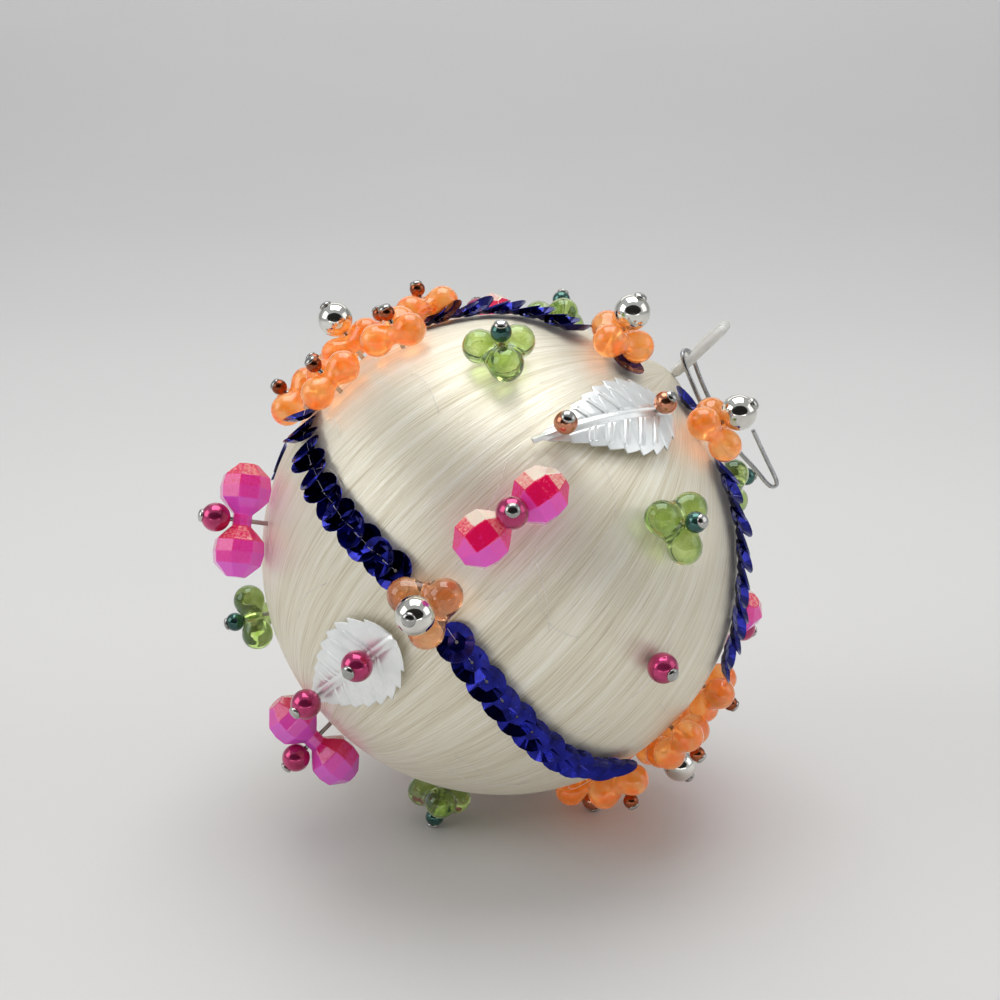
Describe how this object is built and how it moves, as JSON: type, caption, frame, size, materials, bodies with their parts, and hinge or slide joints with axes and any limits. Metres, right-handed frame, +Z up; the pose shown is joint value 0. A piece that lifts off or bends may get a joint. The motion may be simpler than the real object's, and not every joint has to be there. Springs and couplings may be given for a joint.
{
  "type": "beaded christmas ball ornament with wire hook",
  "caption": "Ball wound in ivory satin floss, pinned with lobed and dumbbell beads, pearls, silver leaves and strands of navy sequins, with a plastic loop and a wire hook.",
  "frame": {"origin": "on the table, under the middle of the ornament's bounding box", "axes": "+Z up from the table; the ornament lies on its side and -Y faces the viewer, +X to the viewer's right"},
  "size_m": [0.0896, 0.0882, 0.0866],
  "materials": {
    "satin": "ivory satin floss, wound, silky streaked sheen",
    "sequin": "navy metallic faceted cup sequins",
    "orange": "glossy translucent orange",
    "green": "glossy translucent lime with a pale iridescent coat",
    "pink": "glossy translucent pink with an iridescent coat",
    "pearl": "dark pink pearl",
    "silver": "polished silver coat",
    "copper": "copper metallic coat",
    "teal": "dark teal metallic coat",
    "leaf": "bright stamped foil",
    "plastic": "milky clear plastic",
    "wire": "plain bent wire"
  },
  "bodies": {
    "root": {"back_flower": "orange", "back_flower_pin": "silver", "dumbbell_back_high": "pink", "dumbbell_back_low": "pink", "dumbbell_foot": "pink", "dumbbell_front": "pink", "dumbbell_front_pin": "pearl", "dumbbell_left": "pink", "dumbbell_left_pin": "pearl", "dumbbell_low": "pink", "dumbbell_low_pin": "pearl", "front_flower": "orange", "front_flower_pin": "silver", "green_back_high": "green", "green_back_low": "green", "green_foot": "green", "green_foot_pin": "teal", "green_left": "green", "green_left_pin": "teal", "green_right": "green", "green_right_pin": "teal", "green_top": "green", "green_top_pin": "teal", "hang_loop": "plastic", "hanger_flower_a": "orange", "hanger_flower_a_pin": "silver", "hanger_flower_b": "orange", "hanger_flower_b_pin": "silver", "leaf_back": "leaf", "leaf_left": "leaf", "leaf_left_pin_1": "pearl", "leaf_left_pin_2": "pearl", "leaf_right": "leaf", "leaf_right_pin_1": "copper", "leaf_right_pin_2": "copper", "lower_cluster_1": "orange", "lower_cluster_2": "orange", "lower_cluster_3": "orange", "lower_cluster_4": "orange", "lower_cluster_5": "orange", "lower_cluster_6": "orange", "lower_cluster_middle": "orange", "pearl_back": "pearl", "pearl_front": "pearl", "satin_ball": "satin", "strand_back_lower": "sequin", "strand_back_upper": "sequin", "strand_front_lower": "sequin", "strand_front_upper": "sequin", "strand_hanger_lower": "sequin", "strand_hanger_upper": "sequin", "upper_cluster_1": "orange", "upper_cluster_2": "orange", "upper_cluster_3": "orange", "upper_cluster_4": "orange", "upper_cluster_5": "orange", "upper_cluster_6": "orange", "upper_cluster_middle": "orange", "wire_hook": "wire"}
  },
  "joints": []
}
